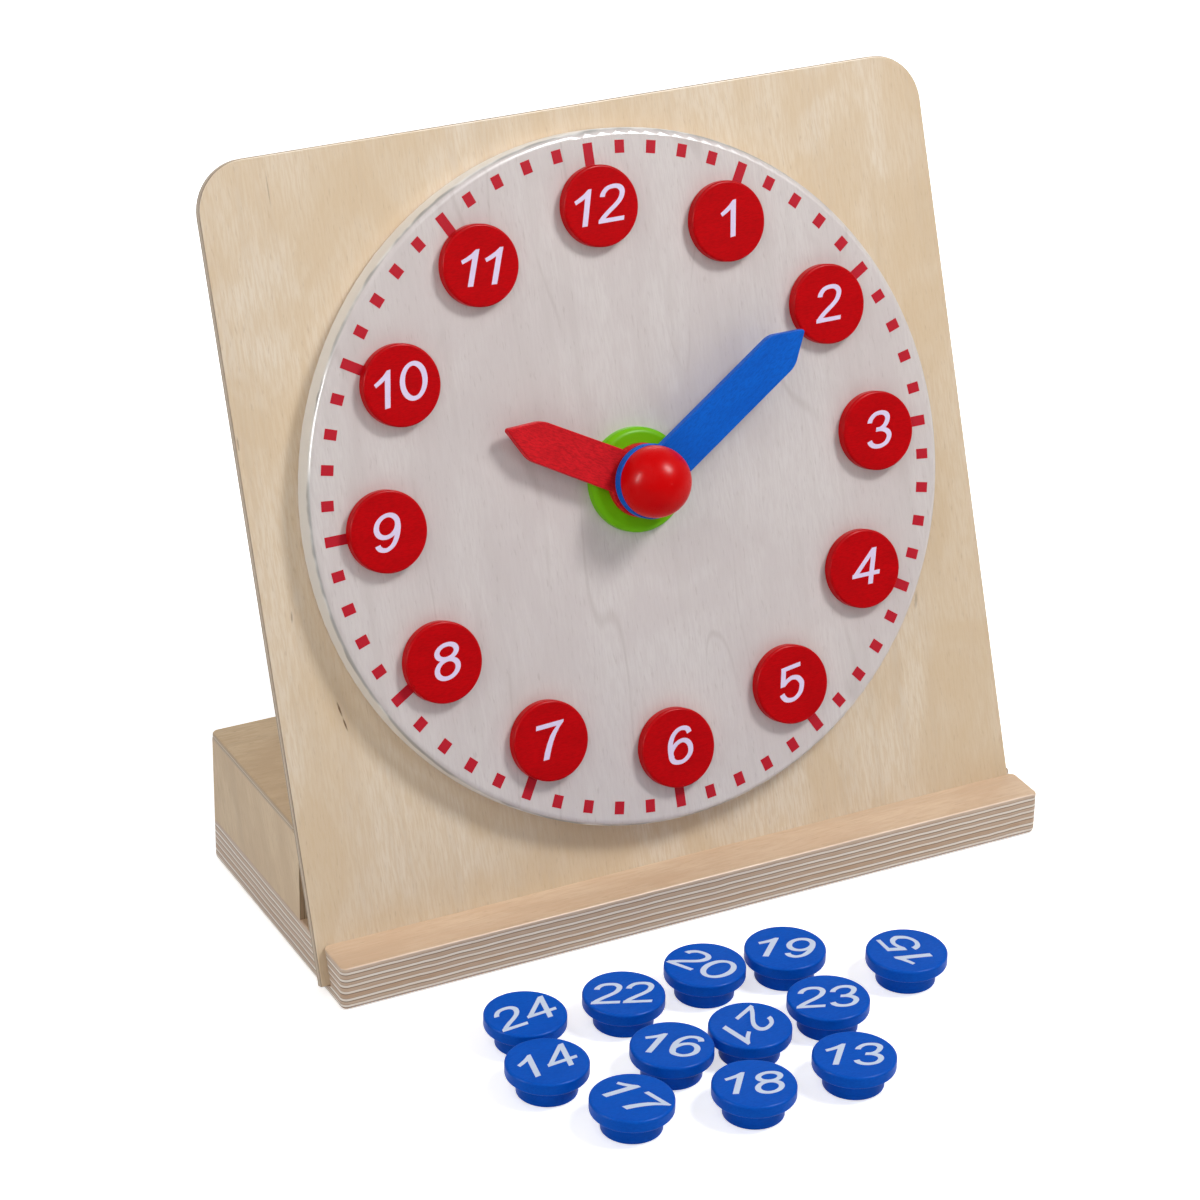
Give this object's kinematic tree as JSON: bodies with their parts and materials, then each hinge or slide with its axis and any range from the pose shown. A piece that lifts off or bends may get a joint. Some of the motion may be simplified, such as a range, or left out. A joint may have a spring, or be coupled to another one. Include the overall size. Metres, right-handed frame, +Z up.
{
  "type": "geared teaching clock",
  "caption": "Classroom clock on a leaning plywood stand: geared hands turned by a knob, pull-out numbered pegs on the dial, and a lidded box behind for spare pegs.",
  "frame": {"origin": "centre of the underside of the base", "axes": "+Z up, the dial facing -Y, +X to the right as the dial is read"},
  "size_m": [0.3026, 0.2657, 0.2893],
  "materials": {
    "birch_base": "clear satin lacquer",
    "birch_panel": "clear satin lacquer",
    "birch_dial": "pale satin",
    "birch_box": "clear satin lacquer",
    "birch_lid": "clear satin lacquer",
    "red_stain": "red stain and lacquer",
    "blue_stain": "blue stain and lacquer",
    "red_lacquer": "gloss lacquer",
    "green_plastic": "gloss",
    "gear_plastic": "moulded",
    "brass": "satin",
    "steel": "satin"
  },
  "bodies": {
    "stand": {"base_slab": "birch_base", "back_panel": "birch_panel", "dial_disc": "birch_dial", "wall_front": "birch_box", "wall_back": "birch_box", "wall_left": "birch_box", "wall_right": "birch_box", "green_washer": "green_plastic", "rear_bush": "brass", "idler_post": "steel", "dial_screws": "steel", "base_screws": "steel", "hinge_wall_screws": "steel", "hinge_wall_leaf_left": "brass", "hinge_wall_leaf_right": "brass", "hinge_pin_left": "steel", "hinge_pin_right": "steel"},
    "box_lid": {"lid": "birch_lid", "hinge_lid_leaf_left": "brass", "hinge_lid_leaf_right": "brass", "hinge_lid_screws": "steel"},
    "minute_train": {"minute_arbor": "steel", "cannon_pinion": "gear_plastic", "minute_hand": "blue_stain", "hand_knob": "red_lacquer", "rear_collar": "steel"},
    "hour_train": {"hour_pipe": "brass", "hour_wheel": "gear_plastic", "hour_hand": "red_stain"},
    "idler": {"minute_wheel": "gear_plastic", "idler_pinion": "gear_plastic"},
    "red_peg_1_body": {"red_peg_1": "red_stain"},
    "red_peg_2_body": {"red_peg_2": "red_stain"},
    "red_peg_3_body": {"red_peg_3": "red_stain"},
    "red_peg_4_body": {"red_peg_4": "red_stain"},
    "red_peg_5_body": {"red_peg_5": "red_stain"},
    "red_peg_6_body": {"red_peg_6": "red_stain"},
    "red_peg_7_body": {"red_peg_7": "red_stain"},
    "red_peg_8_body": {"red_peg_8": "red_stain"},
    "red_peg_9_body": {"red_peg_9": "red_stain"},
    "red_peg_10_body": {"red_peg_10": "red_stain"},
    "red_peg_11_body": {"red_peg_11": "red_stain"},
    "red_peg_12_body": {"red_peg_12": "red_stain"},
    "blue_peg_13_body": {"blue_peg_13": "blue_stain"},
    "blue_peg_14_body": {"blue_peg_14": "blue_stain"},
    "blue_peg_15_body": {"blue_peg_15": "blue_stain"},
    "blue_peg_16_body": {"blue_peg_16": "blue_stain"},
    "blue_peg_17_body": {"blue_peg_17": "blue_stain"},
    "blue_peg_18_body": {"blue_peg_18": "blue_stain"},
    "blue_peg_19_body": {"blue_peg_19": "blue_stain"},
    "blue_peg_20_body": {"blue_peg_20": "blue_stain"},
    "blue_peg_21_body": {"blue_peg_21": "blue_stain"},
    "blue_peg_22_body": {"blue_peg_22": "blue_stain"},
    "blue_peg_23_body": {"blue_peg_23": "blue_stain"},
    "blue_peg_24_body": {"blue_peg_24": "blue_stain"}
  },
  "joints": [
    {"name": "lid_hinge", "type": "hinge", "parent": "stand", "child": "box_lid", "pos_m": [0, 0.0645, 0.0528], "axis": [-1, 0, 0], "range_deg": [0, 100]},
    {"name": "minute_spin", "type": "hinge", "parent": "stand", "child": "minute_train", "pos_m": [-0.0027, -0.00434, 0.1614], "axis": [0, 0.9397, -0.342], "continuous": true},
    {"name": "hour_spin", "type": "hinge", "parent": "stand", "child": "hour_train", "pos_m": [-0.0027, -0.00434, 0.1614], "axis": [0, 0.9397, -0.342], "continuous": true},
    {"name": "idler_spin", "type": "hinge", "parent": "stand", "child": "idler", "pos_m": [-0.0027, -0.01461, 0.13321], "axis": [0, 0.9397, -0.342], "continuous": true},
    {"name": "red_peg_1_pull", "type": "slide", "parent": "stand", "child": "red_peg_1_body", "axis": [0, -0.9397, 0.342], "range_m": [0, 0.02]},
    {"name": "red_peg_2_pull", "type": "slide", "parent": "stand", "child": "red_peg_2_body", "axis": [0, -0.9397, 0.342], "range_m": [0, 0.02]},
    {"name": "red_peg_3_pull", "type": "slide", "parent": "stand", "child": "red_peg_3_body", "axis": [0, -0.9397, 0.342], "range_m": [0, 0.02]},
    {"name": "red_peg_4_pull", "type": "slide", "parent": "stand", "child": "red_peg_4_body", "axis": [0, -0.9397, 0.342], "range_m": [0, 0.02]},
    {"name": "red_peg_5_pull", "type": "slide", "parent": "stand", "child": "red_peg_5_body", "axis": [0, -0.9397, 0.342], "range_m": [0, 0.02]},
    {"name": "red_peg_6_pull", "type": "slide", "parent": "stand", "child": "red_peg_6_body", "axis": [0, -0.9397, 0.342], "range_m": [0, 0.02]},
    {"name": "red_peg_7_pull", "type": "slide", "parent": "stand", "child": "red_peg_7_body", "axis": [0, -0.9397, 0.342], "range_m": [0, 0.02]},
    {"name": "red_peg_8_pull", "type": "slide", "parent": "stand", "child": "red_peg_8_body", "axis": [0, -0.9397, 0.342], "range_m": [0, 0.02]},
    {"name": "red_peg_9_pull", "type": "slide", "parent": "stand", "child": "red_peg_9_body", "axis": [0, -0.9397, 0.342], "range_m": [0, 0.02]},
    {"name": "red_peg_10_pull", "type": "slide", "parent": "stand", "child": "red_peg_10_body", "axis": [0, -0.9397, 0.342], "range_m": [0, 0.02]},
    {"name": "red_peg_11_pull", "type": "slide", "parent": "stand", "child": "red_peg_11_body", "axis": [0, -0.9397, 0.342], "range_m": [0, 0.02]},
    {"name": "red_peg_12_pull", "type": "slide", "parent": "stand", "child": "red_peg_12_body", "axis": [0, -0.9397, 0.342], "range_m": [0, 0.02]},
    {"name": "blue_peg_13_lift", "type": "slide", "parent": "stand", "child": "blue_peg_13_body", "axis": [0, 0, 1], "range_m": [0, 0.04]},
    {"name": "blue_peg_14_lift", "type": "slide", "parent": "stand", "child": "blue_peg_14_body", "axis": [0, 0, 1], "range_m": [0, 0.04]},
    {"name": "blue_peg_15_lift", "type": "slide", "parent": "stand", "child": "blue_peg_15_body", "axis": [0, 0, 1], "range_m": [0, 0.04]},
    {"name": "blue_peg_16_lift", "type": "slide", "parent": "stand", "child": "blue_peg_16_body", "axis": [0, 0, 1], "range_m": [0, 0.04]},
    {"name": "blue_peg_17_lift", "type": "slide", "parent": "stand", "child": "blue_peg_17_body", "axis": [0, 0, 1], "range_m": [0, 0.04]},
    {"name": "blue_peg_18_lift", "type": "slide", "parent": "stand", "child": "blue_peg_18_body", "axis": [0, 0, 1], "range_m": [0, 0.04]},
    {"name": "blue_peg_19_lift", "type": "slide", "parent": "stand", "child": "blue_peg_19_body", "axis": [0, 0, 1], "range_m": [0, 0.04]},
    {"name": "blue_peg_20_lift", "type": "slide", "parent": "stand", "child": "blue_peg_20_body", "axis": [0, 0, 1], "range_m": [0, 0.04]},
    {"name": "blue_peg_21_lift", "type": "slide", "parent": "stand", "child": "blue_peg_21_body", "axis": [0, 0, 1], "range_m": [0, 0.04]},
    {"name": "blue_peg_22_lift", "type": "slide", "parent": "stand", "child": "blue_peg_22_body", "axis": [0, 0, 1], "range_m": [0, 0.04]},
    {"name": "blue_peg_23_lift", "type": "slide", "parent": "stand", "child": "blue_peg_23_body", "axis": [0, 0, 1], "range_m": [0, 0.04]},
    {"name": "blue_peg_24_lift", "type": "slide", "parent": "stand", "child": "blue_peg_24_body", "axis": [0, 0, 1], "range_m": [0, 0.04]}
  ],
  "couplings": [
    {"joint": "idler_spin", "follows": "minute_spin", "ratio": -0.33333},
    {"joint": "hour_spin", "follows": "minute_spin", "ratio": 0.083333}
  ]
}
